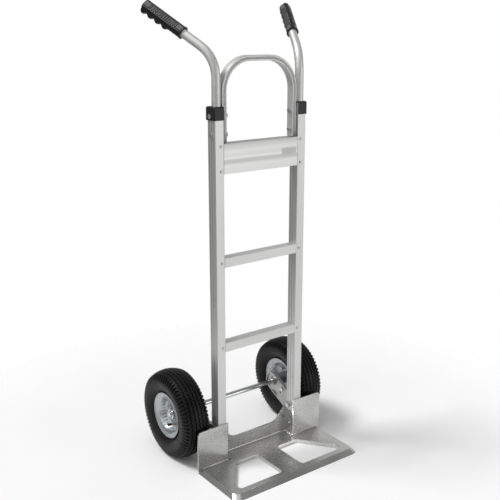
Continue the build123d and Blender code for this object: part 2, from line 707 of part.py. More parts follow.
rim_spots = PolarLocations(rim_bolt_circle, rim_bolt_count, start_angle=45)
for name, face in (("rim_outer", 1), ("rim_inner", -1)):
    with BuildPart() as rim:
        with BuildSketch(wheel_section):
            with BuildLine():
                Polyline(*[(face * a, r) for a, r in half_rim], close=True)
            make_face()
        revolve(axis=wheel_axis)
        with BuildSketch(axle_plane(-2 * rim_sheet)):
            with rim_spots:
                Circle(bolt_radius + hole_gap)
        extrude(amount=4 * rim_sheet, mode=Mode.SUBTRACT)
        if face > 0:
            # valve hole through the outer half's barrel
            hole_plane = Plane(valve_point(valve_offset, seat_in - 8), z_dir=(0, *valve_down))
            drill(hole_plane, valve_radius + valve_hole_gap, 14)
    save_pair(rim, name)

with BuildPart() as hub:
    with BuildSketch(wheel_section):
        with Locations(((hub_outer - hub_inner) / 2, 0)):
            Rectangle(hub_outer + hub_inner, 2 * hub_radius)
        Rectangle(4 * hub_inner, 2 * hub_bore_radius, mode=Mode.SUBTRACT)
        for place, way in zip(bearing_places, (-1, 1)):
            pocket = place - way * bearing_width / 2
            with Locations((pocket + way * hub_inner, 0)):
                Rectangle(2 * hub_inner, 2 * (bearing_radius + slip_gap / 2), mode=Mode.SUBTRACT)
        with Locations((0, -hub_radius)):
            Rectangle(4 * hub_inner, 2 * hub_radius, mode=Mode.SUBTRACT)
    revolve(axis=wheel_axis)
save_pair(hub, "hub")


def race(name, low, high):
    """Pair of bearing races, each with a ball groove in one face."""
    with BuildPart() as piece:
        with BuildSketch(wheel_section):
            for place in bearing_places:
                with Locations((place, (low + high) / 2)):
                    Rectangle(bearing_width, high - low)
            for place in bearing_places:
                with Locations((place, ball_circle)):
                    Circle(groove_radius, mode=Mode.SUBTRACT)
        revolve(axis=wheel_axis)
    save_pair(piece, name)


race("outer_races", outer_race_bore, bearing_radius)
race("inner_races", axle_radius + running_gap, inner_race_radius)

with BuildPart() as balls:
    for place in bearing_places:
        with Locations(axle_plane(place)):
            with PolarLocations(ball_circle, ball_count):
                Sphere(ball_radius)
save_pair(balls, "balls")

with BuildPart() as ball_cages:
    for place in bearing_places:
        with BuildSketch(axle_plane(place)):
            Circle(ball_circle + cage_thickness / 2)
            Circle(ball_circle - cage_thickness / 2, mode=Mode.SUBTRACT)
        extrude(amount=cage_width / 2, both=True)
    for place in bearing_places:
        for index in range(ball_count):
            turn = radians(360 * index / ball_count)
            outwards = (0, cos(turn), sin(turn))
            drill(Plane((wheel_x + place, axle_y, axle_z), z_dir=outwards), ball_radius + slip_gap,
                  bearing_radius)
save_pair(ball_cages, "ball_cages")

with BuildPart() as hub_seals:
    for offset in (-hub_inner, hub_outer - seal_thickness):
        drill(axle_plane(offset), bearing_radius, seal_thickness, Mode.ADD)
    drill(axle_plane(-2 * hub_inner), axle_radius + ball_gap, 4 * hub_inner)
save_pair(hub_seals, "hub_seals")

with BuildPart() as rim_bolts:
    with BuildSketch(axle_plane(rim_sheet)):
        with rim_spots:
            RegularPolygon(bolt_hex / 2, 6, major_radius=False)
    extrude(amount=bolt_head)
    with BuildSketch(axle_plane(rim_sheet)):
        with rim_spots:
            Circle(bolt_radius)
    extrude(amount=-2 * rim_sheet - nut_height - bolt_tail)
save_pair(rim_bolts, "rim_bolts")

with BuildPart() as rim_nuts:
    with BuildSketch(axle_plane(-rim_sheet)):
        with rim_spots:
            RegularPolygon(bolt_hex / 2, 6, major_radius=False)
            Circle(bolt_radius + slip_gap / 2, mode=Mode.SUBTRACT)
    extrude(amount=-nut_height)
save_pair(rim_nuts, "rim_nuts")

tube_foot = tube_middle - tube_height * sqrt(1 - ((valve_offset - valve_radius) / tube_half_width) ** 2)
valve_knee = valve_point(valve_offset, valve_knee_radius)
valve_tip = valve_point(valve_reach, valve_tip_radius)
with BuildPart() as valve_stem:
    with BuildLine():
        FilletPolyline(valve_point(valve_offset, tube_foot - slip_gap), valve_knee, valve_tip, radius=6)
    with BuildSketch(Plane(valve_point(valve_offset, tube_foot - slip_gap), z_dir=(0, *valve_down))):
        Circle(valve_radius)
    sweep()
save_pair(valve_stem, "valve_stem")

with BuildPart() as valve_cap:
    valve_way = Vector(*valve_tip) - Vector(*valve_knee)
    cap_start = Vector(*valve_tip) - valve_way.normalized() * (valve_cap_length - 2)
    cap_plane = Plane(cap_start, z_dir=valve_way)
    drill(cap_plane, valve_cap_radius, valve_cap_length, Mode.ADD)
    fillet(valve_cap.faces().sort_by(Axis(cap_plane.origin, cap_plane.z_dir))[-1].edges(), 1.0)
    drill(cap_plane, valve_radius + slip_gap / 2, valve_cap_length - 2 + slip_gap)
save_pair(valve_cap, "valve_cap")
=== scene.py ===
import bpy
import json
import math
from mathutils import Matrix, Vector


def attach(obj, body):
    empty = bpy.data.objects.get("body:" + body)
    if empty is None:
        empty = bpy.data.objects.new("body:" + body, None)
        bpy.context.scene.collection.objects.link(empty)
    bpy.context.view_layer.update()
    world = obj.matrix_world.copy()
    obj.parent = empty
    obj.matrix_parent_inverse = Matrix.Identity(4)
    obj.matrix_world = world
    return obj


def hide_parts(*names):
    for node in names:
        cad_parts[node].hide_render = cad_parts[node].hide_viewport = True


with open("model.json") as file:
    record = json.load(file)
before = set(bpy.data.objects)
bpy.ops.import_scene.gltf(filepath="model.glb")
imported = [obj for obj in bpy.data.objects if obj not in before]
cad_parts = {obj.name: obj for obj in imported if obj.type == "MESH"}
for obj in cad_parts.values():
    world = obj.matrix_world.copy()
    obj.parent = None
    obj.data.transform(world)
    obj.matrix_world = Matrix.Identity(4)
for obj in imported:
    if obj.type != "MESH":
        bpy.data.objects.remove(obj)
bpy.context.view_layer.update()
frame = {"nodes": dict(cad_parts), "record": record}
print("frame loaded:", len(frame["nodes"]), "nodes")

mm = 0.001
record = frame["record"]


def named(entries, name):
    # the record's joint or mount of that name
    return next(entry for entry in entries if entry["name"] == name)


def reachOf(node, axis):
    # lowest and highest place of a CAD node along one axis
    places = [vertex.co["XYZ".index(axis)] for vertex in frame["nodes"][node].data.vertices]
    return min(places), max(places)


# selection and modelling helpers

def deselectAll():
    for thing in bpy.context.selected_objects:
        thing.select_set(False)


def makeActive(piece):
    deselectAll()
    piece.select_set(True)
    bpy.context.view_layer.objects.active = piece


def bakePlace(piece):
    # the object goes to the origin, its place goes into the mesh
    makeActive(piece)
    bpy.ops.object.transform_apply(location=True, rotation=True, scale=True)


def cleanMesh(piece, mergeDistance=1e-6, outward=True):
    # doubles merged, and faces turned outwards unless they already are
    makeActive(piece)
    bpy.ops.object.mode_set(mode="EDIT")
    bpy.ops.mesh.select_all(action="SELECT")
    bpy.ops.mesh.remove_doubles(threshold=mergeDistance)
    if outward:
        bpy.ops.mesh.normals_make_consistent(inside=False)
    bpy.ops.object.mode_set(mode="OBJECT")


def finishPiece(piece, body, material, nodes, degrees):
    makeActive(piece)
    bpy.ops.object.shade_smooth_by_angle(angle=math.radians(degrees))
    piece.data.materials.clear()
    piece.data.materials.append(material)
    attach(piece, body)
    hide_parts(*nodes)


def selectSharpEdges(piece, test, degrees=28):
    # sharp edges whose two ends both pass the test
    makeActive(piece)
    bpy.ops.object.mode_set(mode="EDIT")
    bpy.ops.mesh.select_mode(type="EDGE")
    bpy.ops.mesh.select_all(action="DESELECT")
    bpy.ops.object.mode_set(mode="OBJECT")
    mesh = piece.data
    normals = {}
    for face in mesh.polygons:
        for key in face.edge_keys:
            normals.setdefault(key, []).append(face.normal)
    for edge in mesh.edges:
        sides = normals.get(edge.key, [])
        if len(sides) == 2 and sides[0].angle(sides[1], 0) > math.radians(degrees):
            edge.select = all(test(mesh.vertices[index].co) for index in edge.vertices)
    bpy.ops.object.mode_set(mode="EDIT")


def smoothCopy(node, material, degrees=30, easeWidth=0, easeWhere=None):
    # a CAD node's shape with its loose triangles merged, so that its curves shade smoothly
    source = frame["nodes"][node]
    piece = bpy.data.objects.new(node + "_skin", source.data.copy())
    bpy.context.scene.collection.objects.link(piece)
    cleanMesh(piece, 2e-6, outward=False)
    if easeWhere:
        makeActive(piece)
        bpy.ops.object.mode_set(mode="EDIT")
        bpy.ops.mesh.select_all(action="SELECT")
        bpy.ops.mesh.dissolve_limited(angle_limit=math.radians(1))
        bpy.ops.object.mode_set(mode="OBJECT")
        selectSharpEdges(piece, easeWhere)
        bpy.ops.mesh.bevel(offset=easeWidth * mm, segments=3, affect="EDGES", clamp_overlap=False)
        bpy.ops.object.mode_set(mode="OBJECT")
    body = next(name for name, members in record["behaviour"]["bodies"].items() if node in members)
    finishPiece(piece, body, material, [node], degrees)
    if easeWhere:
        # flat faces keep flat shading right up to their rounded edges
        flatten = piece.modifiers.new("flatShading", "WEIGHTED_NORMAL")
        flatten.keep_sharp = True
        makeActive(piece)
        bpy.ops.object.modifier_apply(modifier=flatten.name)


def copyPiece(piece, name):
    twin = piece.copy()
    twin.data = piece.data.copy()
    twin.name = name
    bpy.context.scene.collection.objects.link(twin)
    return twin


def mirrorAcross(piece):
    # the right-hand piece becomes the left-hand one
    piece.scale.x = -1
    bakePlace(piece)
    cleanMesh(piece)


def spunSection(name, points, centre, steps):
    # a closed section of axial and radial places, turned about the X axis through the centre
    deselectAll()
    bpy.ops.mesh.primitive_circle_add(vertices=len(points), radius=1, location=(0, 0, 0))
    piece = bpy.context.active_object
    piece.name = name
    for vertex, (across, out) in zip(piece.data.vertices, points):
        vertex.co = Vector(centre) + Vector((across, 0, out))
    bpy.ops.object.mode_set(mode="EDIT")
    bpy.ops.mesh.select_all(action="SELECT")
    bpy.ops.mesh.spin(steps=steps, angle=2 * math.pi, center=centre, axis=(1, 0, 0))
    bpy.ops.object.mode_set(mode="OBJECT")
    cleanMesh(piece, 1e-5)
    return piece


# materials

def newMaterial(name):
    material = bpy.data.materials.new(name)
    material.use_nodes = True
    nodes = material.node_tree.nodes
    nodes.clear()
    output = nodes.new("ShaderNodeOutputMaterial")
    shader = nodes.new("ShaderNodeBsdfPrincipled")
    material.node_tree.links.new(shader.outputs["BSDF"], output.inputs["Surface"])
    return material, material.node_tree, shader


def objectNoise(tree, scale, detail, roughness=0.5):
    # noise on Object coordinates, stretched by the three scales
    place = tree.nodes.new("ShaderNodeTexCoord")
    mapping = tree.nodes.new("ShaderNodeMapping")
    mapping.inputs["Scale"].default_value = scale
    noise = tree.nodes.new("ShaderNodeTexNoise")
    noise.inputs["Scale"].default_value = 1.0
    noise.inputs["Detail"].default_value = detail
    noise.inputs["Roughness"].default_value = roughness
    tree.links.new(place.outputs["Object"], mapping.inputs["Vector"])
    tree.links.new(mapping.outputs["Vector"], noise.inputs["Vector"])
    return noise.outputs["Fac"]


def grey(value, tint=(1, 1, 1)):
    return (value * tint[0], value * tint[1], value * tint[2], 1)


def ramp(tree, source, low, high, start=0.3, end=0.7):
    # spreads a noise between two colours
    node = tree.nodes.new("ShaderNodeValToRGB")
    node.color_ramp.elements[0].position = start
    node.color_ramp.elements[1].position = end
    node.color_ramp.elements[0].color = low
    node.color_ramp.elements[1].color = high
    tree.links.new(source, node.inputs["Fac"])
    return node.outputs["Color"]


def bumpFrom(tree, shader, heights, distance):
    # one bump over another, each with its own strength
    previous = None
    for source, share in heights:
        node = tree.nodes.new("ShaderNodeBump")
        node.inputs["Strength"].default_value = share
        node.inputs["Distance"].default_value = distance
        tree.links.new(source, node.inputs["Height"])
        if previous:
            tree.links.new(previous, node.inputs["Normal"])
        previous = node.outputs["Normal"]
    tree.links.new(previous, shader.inputs["Normal"])


brightestPaintedBand = 1.2                                    # a ramp stops at 1, so the painted bands are scaled


def paintedBandsAlong(tree, colour, axis, node, stops):
    # painted light and shade: lighter and darker bands across a node along one axis, laid over a colour
    low, high = reachOf(node, axis)
    place = tree.nodes.new("ShaderNodeTexCoord")
    split = tree.nodes.new("ShaderNodeSeparateXYZ")
    share = tree.nodes.new("ShaderNodeMapRange")
    share.inputs["From Min"].default_value = low
    share.inputs["From Max"].default_value = high
    paintedBands = tree.nodes.new("ShaderNodeValToRGB")
    for position, value in stops[1:-1]:
        paintedBands.color_ramp.elements.new(position)
    for stop, (position, value) in zip(paintedBands.color_ramp.elements, stops):
        stop.color = grey(value / brightestPaintedBand)
    mix = tree.nodes.new("ShaderNodeVectorMath")
    mix.operation = "MULTIPLY"
    lift = tree.nodes.new("ShaderNodeVectorMath")
    lift.operation = "SCALE"
    lift.inputs["Scale"].default_value = brightestPaintedBand
    tree.links.new(place.outputs["Object"], split.inputs["Vector"])
    tree.links.new(split.outputs[axis], share.inputs["Value"])
    tree.links.new(share.outputs["Result"], paintedBands.inputs["Fac"])
    tree.links.new(paintedBands.outputs["Color"], mix.inputs[0])
    tree.links.new(colour, mix.inputs[1])
    tree.links.new(mix.outputs["Vector"], lift.inputs["Vector"])
    return lift.outputs["Vector"]


def metalFinish(name, look):
    material, tree, shader = newMaterial(name)
    shader.inputs["Metallic"].default_value = look["metallic"]
    grain = objectNoise(tree, look["grain"], 3, 0.6)
    cloud = objectNoise(tree, look["cloud"], 1.5, 0.4)
    dark, light = grey(look["dark"], look["tint"]), grey(look["light"], look["tint"])
    colour = ramp(tree, cloud, dark, light, 0.35, 0.65)
    # painted light and shade laid over the metal's colour, where the finish has bands
    if "paintedBands" in look:
        colour = paintedBandsAlong(tree, colour, *look["paintedBands"])
    tree.links.new(colour, shader.inputs["Base Color"])
    rough = ramp(tree, grain, grey(look["smooth"]), grey(look["rough"]))
    tree.links.new(rough, shader.inputs["Roughness"])
    bumpFrom(tree, shader, [(grain, look["scratch"]), (cloud, look["wave"])], look["depth"])
    return material


# each finish: fine grain along or across the metal, slow cloud of light and dark, how rough it is, and for
# the rails and panel, painted bands of light and shade
metalLooks = {
    "railAluminium": dict(
        metallic=0.85, grain=(700, 700, 9), cloud=(20, 20, 2.5), dark=0.64, light=0.69,
        tint=(1.0, 0.998, 0.988), smooth=0.36, rough=0.44, scratch=0.05, wave=0.02, depth=0.0003,
        # painted shade along the rail side's grooves, with painted light on the flats between them
        paintedBands=("Y", "left_rail", (
            (0, 1), (0.18, 1), (0.20, 0.66), (0.26, 1.04), (0.46, 1.08), (0.48, 0.62),
            (0.52, 0.62), (0.54, 1.08), (0.74, 1.04), (0.80, 0.66), (0.82, 1), (1, 1)))),
    "barAluminium": dict(
        metallic=0.85, grain=(9, 700, 700), cloud=(2.5, 20, 20), dark=0.64, light=0.69,
        tint=(1.0, 0.998, 0.988), smooth=0.36, rough=0.44, scratch=0.05, wave=0.02, depth=0.0003),
    "panelAluminium": dict(
        metallic=0.9, grain=(3, 700, 600), cloud=(1.2, 40, 50), dark=0.58, light=0.70,
        tint=(1.0, 0.998, 0.988), smooth=0.26, rough=0.38, scratch=0.12, wave=0.05, depth=0.0003,
        # painted light and shade up the brushed panel, darkest at the top, standing in for the reflections on
        # its ribs
        paintedBands=("Z", "upper_panel", (
            (0, 1.08), (0.24, 1.18), (0.36, 0.82), (0.45, 0.90), (0.50, 1.18),
            (0.60, 0.92), (0.74, 1.12), (0.86, 0.88), (0.95, 0.78), (1, 0.70)))),
    "tubeAluminium": dict(
        metallic=0.7, grain=(400, 400, 90), cloud=(16, 16, 16), dark=0.68, light=0.72,
        tint=(1.0, 0.994, 0.985), smooth=0.46, rough=0.52, scratch=0.01, wave=0.01, depth=0.0002),
    "plateAluminium": dict(
        metallic=0.95, grain=(25, 300, 300), cloud=(6, 6, 6), dark=0.48, light=0.74,
        tint=(1.0, 0.994, 0.98), smooth=0.25, rough=0.29, scratch=0.0008, wave=0.5, depth=0.002),
    "castBracket": dict(
        metallic=0.9, grain=(300, 300, 300), cloud=(20, 20, 20), dark=0.38, light=0.48,
        tint=(1.0, 0.99, 0.975), smooth=0.32, rough=0.44, scratch=0.03, wave=0.1, depth=0.0005),
    "zincRim": dict(
        metallic=0.9, grain=(200, 200, 200), cloud=(14, 14, 14), dark=0.42, light=0.48,
        tint=(0.94, 1.0, 1.02), smooth=0.26, rough=0.34, scratch=0.01, wave=0.02, depth=0.0004),
    "zincSteel": dict(
        metallic=0.95, grain=(300, 300, 300), cloud=(50, 50, 50), dark=0.58, light=0.68,
        tint=(0.98, 1.0, 1.01), smooth=0.16, rough=0.26, scratch=0.01, wave=0.02, depth=0.0002),
    "bearingSteel": dict(
        metallic=1.0, grain=(300, 300, 300), cloud=(80, 80, 80), dark=0.55, light=0.62,
        tint=(1.0, 1.0, 1.0), smooth=0.15, rough=0.22, scratch=0.02, wave=0.02, depth=0.0002),
    "rivetAluminium": dict(
        metallic=0.9, grain=(400, 400, 400), cloud=(60, 60, 60), dark=0.50, light=0.6,
        tint=(1.0, 0.995, 0.985), smooth=0.25, rough=0.35, scratch=0.02, wave=0.02, depth=0.0002),
    "valveBrass": dict(
        metallic=0.9, grain=(400, 400, 400), cloud=(90, 90, 90), dark=0.34, light=0.5,
        tint=(1.0, 0.72, 0.36), smooth=0.3, rough=0.5, scratch=0.05, wave=0.05, depth=0.0002),
}
finish = {name: metalFinish(name, look) for name, look in metalLooks.items()}


def mouldedFinish(name, look):
    material, tree, shader = newMaterial(name)
    shader.inputs["Specular IOR Level"].default_value = look["specular"]
    grain = objectNoise(tree, (look["grain"],) * 3, 4, 0.6)
    cloud = objectNoise(tree, (look["cloud"],) * 3, 4, 0.6)
    dark, light = grey(look["dark"], look["tint"]), grey(look["light"], look["tint"])
    colour = ramp(tree, cloud, dark, light, 0.35, 0.7)
    tree.links.new(colour, shader.inputs["Base Color"])
    rough = ramp(tree, cloud, grey(look["smooth"]), grey(look["rough"]))
    tree.links.new(rough, shader.inputs["Roughness"])
    bumpFrom(tree, shader, [(grain, look["bump"])], look["depth"])
    return material


mouldedLooks = {
    "tyreRubber": dict(specular=0.22, grain=1400, cloud=40, dark=0.003, light=0.006, tint=(1.03, 1, 0.96),
                       smooth=0.34, rough=0.52, bump=0.3, depth=0.0004),
    "tubeRubber": dict(specular=0.4, grain=900, cloud=30, dark=0.012, light=0.02, tint=(1, 1, 1),
                       smooth=0.5, rough=0.6, bump=0.15, depth=0.0002),
    "gripVinyl": dict(specular=0.5, grain=1600, cloud=60, dark=0.006, light=0.010, tint=(1, 1, 1.03),
                      smooth=0.20, rough=0.30, bump=0.06, depth=0.0002),
    # painted sheen: the same dark vinyl made paler, standing in for the light the ribbed panel reflects
    "gripPanelPaintedSheen": dict(specular=0.6, grain=1600, cloud=60, dark=0.12, light=0.15, tint=(1, 1, 1.03),
                      smooth=0.20, rough=0.28, bump=0.04, depth=0.0002),
    "capPlastic": dict(specular=0.4, grain=1500, cloud=50, dark=0.007, light=0.012, tint=(1, 1, 1.02),
                       smooth=0.28, rough=0.40, bump=0.1, depth=0.0002),
    "labelFilm": dict(specular=0.5, grain=800, cloud=20, dark=0.66, light=0.72, tint=(1, 1, 0.985),
                      smooth=0.3, rough=0.4, bump=0.03, depth=0.0001),
}
finish.update({name: mouldedFinish(name, look) for name, look in mouldedLooks.items()})
slotFinish = {
    "satin_aluminium": "railAluminium", "brushed_aluminium": "panelAluminium",
    "cast_aluminium": "plateAluminium", "rivet_aluminium": "rivetAluminium", "label_film": "labelFilm",
    "zinc_steel": "zincSteel", "zinc_rim": "zincRim", "bearing_steel": "bearingSteel",
    "black_plastic": "capPlastic", "black_grip": "gripVinyl", "tyre_rubber": "tyreRubber",
    "tube_rubber": "tubeRubber", "valve_brass": "valveBrass",
}
nodeFinish = {
    "upper_crossbar": "barAluminium", "lower_crossbar": "barAluminium", "loop_handle": "tubeAluminium",
    "left_handle_tube": "tubeAluminium", "right_handle_tube": "tubeAluminium",
    "left_wheel_bracket": "castBracket", "right_wheel_bracket": "castBracket",
}
for part in record["subparts"]:
    node = frame["nodes"][part["node"]]
    node.data.materials.clear()
    node.data.materials.append(finish[nodeFinish.get(part["node"], slotFinish[part["material_slot"]])])
print("materials made:", len(finish))

# tyres

tyre = dict(
    centre=tuple(named(record["behaviour"]["joints"], "right_wheel_spin")["pos_m"]), pitches=68, stepsEach=6,
    crown=133.3, shoulder=(37.0, 124.3), widest=(42.6, 99.2), foot=(28.5, 69.6), bead=(26.4, 51.2),
    wall=6.0, roof=122.5, grooves=(-24.0, -12.0, 0.0, 12.0, 24.0), grooveTop=1.9, grooveFloor=1.2,
    grooveDepth=4.6, wave=1.8, treadHalf=31.0, shoulderEdge=3.0,
    notchFrom=106.0, notchFade=9.0, notchDepth=4.2, notchInset=2.4,
    notchSpan=(0.25, 0.6),                             # the part of each pitch that is cut away
)


def arcPlaces(first, middle, last, count):
    # places along the circle through three places, ends included
    (ax, ay), (bx, by), (cx, cy) = first, middle, last
    aa, bb, cc = (x * x + y * y for x, y in (first, middle, last))
    scale = 2 * (ax * (by - cy) + bx * (cy - ay) + cx * (ay - by))
    ux = (aa * (by - cy) + bb * (cy - ay) + cc * (ay - by)) / scale
    uy = (aa * (cx - bx) + bb * (ax - cx) + cc * (bx - ax)) / scale
    radius = math.hypot(ax - ux, ay - uy)
    start, end = math.atan2(ay - uy, ax - ux), math.atan2(cy - uy, cx - ux)
    turns = [start + (end - start) * index / (count - 1) for index in range(count)]
    return [(ux + radius * math.cos(turn), uy + radius * math.sin(turn)) for turn in turns]


def crownAt(across):
    # outer radius of the tread at a place across it
    half, edge = tyre["shoulder"]
    drop = tyre["crown"] - edge
    radius = (half * half + drop * drop) / (2 * drop)
    return tyre["crown"] - radius + math.sqrt(radius * radius - across * across)


def tyreSection():
    # across and outward places of one cut through the tyre, outer skin first and then the inner
    side = arcPlaces(tyre["foot"], tyre["widest"], tyre["shoulder"], 16)
    raised = {3: 0.9, 4: 0.9, 11: 0.5}                  # rings moulded on the sidewall
    side = [(a + raised.get(i, 0) * 0.7, r + raised.get(i, 0) * 0.2) for i, (a, r) in enumerate(side)]
    half, edge = tyre["treadHalf"], tyre["treadHalf"] + tyre["shoulderEdge"]
    tread = [(-edge, 0), (-half, 0)]
    for groove in tyre["grooves"]:
        tread += [(groove - tyre["grooveTop"], 0), (groove - tyre["grooveFloor"], tyre["grooveDepth"]),
                  (groove + tyre["grooveFloor"], tyre["grooveDepth"]), (groove + tyre["grooveTop"], 0)]
    tread += [(half, 0), (edge, 0)]
    crown = [(a, crownAt(a) - depth) for a, depth in tread]
    beadAcross, beadRadius = tyre["bead"]
    wall = tyre["wall"]
    foot = [(beadAcross - wall, beadRadius), (beadAcross, beadRadius), (beadAcross, beadRadius + wall),
            (beadAcross + 2, beadRadius + wall + 2)]
    outside = foot + side
    inside = arcPlaces((beadAcross - wall, tyre["foot"][1] - wall),
                       (tyre["widest"][0] - wall, tyre["widest"][1]),
                       (tyre["shoulder"][0] - wall, tyre["shoulder"][1] - wall), 7)
    endAcross, endOut = inside[-1]
    roof = arcPlaces((endAcross, endOut), (0, tyre["roof"]), (-endAcross, endOut), 9)[1:-1]
    mirrored = [(-a, r) for a, r in outside]
    return mirrored + crown + outside[::-1] + inside + roof + [(-a, r) for a, r in inside[::-1]]


def mouldTread(piece):
    # zigzag grooves round the tread, and notches along both shoulders
    centre = Vector(tyre["centre"])
    for vertex in piece.data.vertices:
        offset = (vertex.co - centre) / mm
        across, out = offset.x, math.hypot(offset.y, offset.z)
        turn = math.atan2(offset.z, offset.y)
        pitch = turn / (2 * math.pi) * tyre["pitches"]
        if abs(across) < tyre["treadHalf"] - 1 and out > crownAt(across) - tyre["grooveDepth"] - 1:
            shift = tyre["wave"] * (4 * abs(pitch % 1 - 0.5) - 1)
            newOut = out + crownAt(across + shift) - crownAt(across)
            across += shift
        elif abs(across) > tyre["treadHalf"] + 1 and out > tyre["notchFrom"]:
            stagger = 0.5 if across < 0 else 0          # the two shoulders are half a pitch apart
            low, high = tyre["notchSpan"]
            cut = low < (pitch + stagger) % 1 < high
            share = min(1, (out - tyre["notchFrom"]) / tyre["notchFade"]) if cut else 0
            newOut = out - tyre["notchDepth"] * share
            across -= math.copysign(tyre["notchInset"] * share, across)
        else:
            continue
        vertex.co = centre + Vector((across, math.cos(turn) * newOut, math.sin(turn) * newOut)) * mm


def makeTyres():
    places = [(a * mm, r * mm) for a, r in tyreSection()]
    right = spunSection("rightTyreSkin", places, tyre["centre"], tyre["pitches"] * tyre["stepsEach"])
    mouldTread(right)
    left = copyPiece(right, "leftTyreSkin")
    mirrorAcross(left)
    finishPiece(right, "right_wheel", finish["tyreRubber"], ["right_tyre"], 32)
    finishPiece(left, "left_wheel", finish["tyreRubber"], ["left_tyre"], 32)


makeTyres()
print("tyres moulded")

# grips

grip = dict(
    rise=32.0, splay=27.3, railX=141.0, tubeY=-28.975, bendStart=1116.0, bendRadius=93.5, start=60.2,
    length=136.0, radius=16.5, lip=17.6, lipLength=3.4, bore=12.3, endWall=5.0, endRound=3.0,
    panelTurn=-44.0, panelFlat=14.9, panelHalf=8.6, panelFade=0.8,
    ribs=14, ribFrom=0.15, ribTo=0.84, grooveDepth=1.3, grooveEdge=(0.35, 0.85),
    borderDrop=10.6, borderHeight=1.2, borderWidth=0.75, borderFrom=0.04,
    fingerFirst=54.4, fingerPitch=25.2, fingerDepth=5.8, fingerFullness=0.85, fingerSpread=(0.45, 0.92),
    endInset=2.5, dishInset=4.0, dishDepth=0.8,         # the slightly sunk middle of the closed end
    around=96, step=0.85,
)


def smoothStep(low, high, value):
    share = min(1, max(0, (value - low) / (high - low)))
    return share * share * (3 - 2 * share)


def gripRadius(turn, along):
    # how far the grip's skin stands from its axis; turn 0 is the outer side and 90 the underside
    length = grip["length"]
    out = grip["radius"]
    for side in (0, 180):
        facing = turn - math.radians(grip["panelTurn"] if side == 0 else 180 - grip["panelTurn"])
        if math.cos(facing) <= 0.2:
            continue
        out = min(out, grip["panelFlat"] / math.cos(facing))
        drop = out * math.sin(facing) * (1 if side == 0 else -1)
        start, end = grip["ribFrom"] * length, grip["ribTo"] * length
        if abs(drop) < grip["panelHalf"] and start < along < end:
            cut = 0.5 + 0.5 * math.cos(2 * math.pi * grip["ribs"] * (along - start) / (end - start))
            edge = 1 - smoothStep(grip["panelHalf"] - grip["panelFade"], grip["panelHalf"], abs(drop))
            out -= grip["grooveDepth"] * smoothStep(*grip["grooveEdge"], cut) * edge
        if grip["borderFrom"] * length < along < (1 - grip["borderFrom"]) * length:
            out += grip["borderHeight"] * math.exp(-((drop - grip["borderDrop"]) / grip["borderWidth"]) ** 2)
    if along > grip["fingerFirst"] - grip["fingerPitch"] / 2:
        bulge = 0.5 + 0.5 * math.cos(2 * math.pi * (along - grip["fingerFirst"]) / grip["fingerPitch"])
        under = smoothStep(*grip["fingerSpread"], math.sin(turn))
        out += grip["fingerDepth"] * bulge ** grip["fingerFullness"] * under
    if along < grip["lipLength"]:
        out = max(out, grip["lip"])
    fromEnd = length - along
    if fromEnd < grip["endRound"]:
        out -= grip["endRound"] * (1 - math.sqrt(max(0, 1 - (1 - fromEnd / grip["endRound"]) ** 2)))
    return out


def selectVertices(piece, test):
    makeActive(piece)
    bpy.ops.object.mode_set(mode="EDIT")
    bpy.ops.mesh.select_mode(type="VERT")
    bpy.ops.mesh.select_all(action="DESELECT")
    bpy.ops.object.mode_set(mode="OBJECT")
    for vertex in piece.data.vertices:
        vertex.select = test(vertex.co)
    bpy.ops.object.mode_set(mode="EDIT")


def gripBlank():
    # a tube of rings along +Z, closed at the far end, with a blind bore from the mouth
    count = round(grip["length"] / grip["step"])
    rise = grip["length"] / count * mm
    deselectAll()
    bpy.ops.mesh.primitive_circle_add(vertices=grip["around"], radius=grip["radius"] * mm, location=(0, 0, 0))
    piece = bpy.context.active_object
    piece.name = "rightGripSkin"
    bpy.ops.object.mode_set(mode="EDIT")
    bpy.ops.mesh.select_all(action="SELECT")
    for index in range(count):
        bpy.ops.mesh.extrude_region_move(TRANSFORM_OT_translate={"value": (0, 0, rise)})
    bpy.ops.mesh.edge_face_add()
    bpy.ops.object.mode_set(mode="OBJECT")
    for vertex in piece.data.vertices:
        turn = math.atan2(vertex.co.y, vertex.co.x)
        out = gripRadius(turn, vertex.co.z / mm) * mm
        vertex.co.x, vertex.co.y = out * math.cos(turn), out * math.sin(turn)
    # dish the closed end, then sink the bore
    selectVertices(piece, lambda place: place.z > (grip["length"] - 0.1) * mm)
    bpy.ops.mesh.inset(thickness=grip["endInset"] * mm, depth=0)
    bpy.ops.mesh.inset(thickness=grip["dishInset"] * mm, depth=-grip["dishDepth"] * mm)
    selectVertices(piece, lambda place: place.z < 0.01 * mm)
    bpy.ops.mesh.extrude_region_move()
    share = grip["bore"] / grip["lip"]
    bpy.ops.transform.resize(value=(share, share, 1), center_override=(0, 0, 0))
    boreLength = (grip["length"] - grip["endWall"]) * mm
    bpy.ops.mesh.extrude_region_move(TRANSFORM_OT_translate={"value": (0, 0, boreLength)})
    bpy.ops.mesh.edge_face_add()
    bpy.ops.object.mode_set(mode="OBJECT")
    cleanMesh(piece)
    return piece


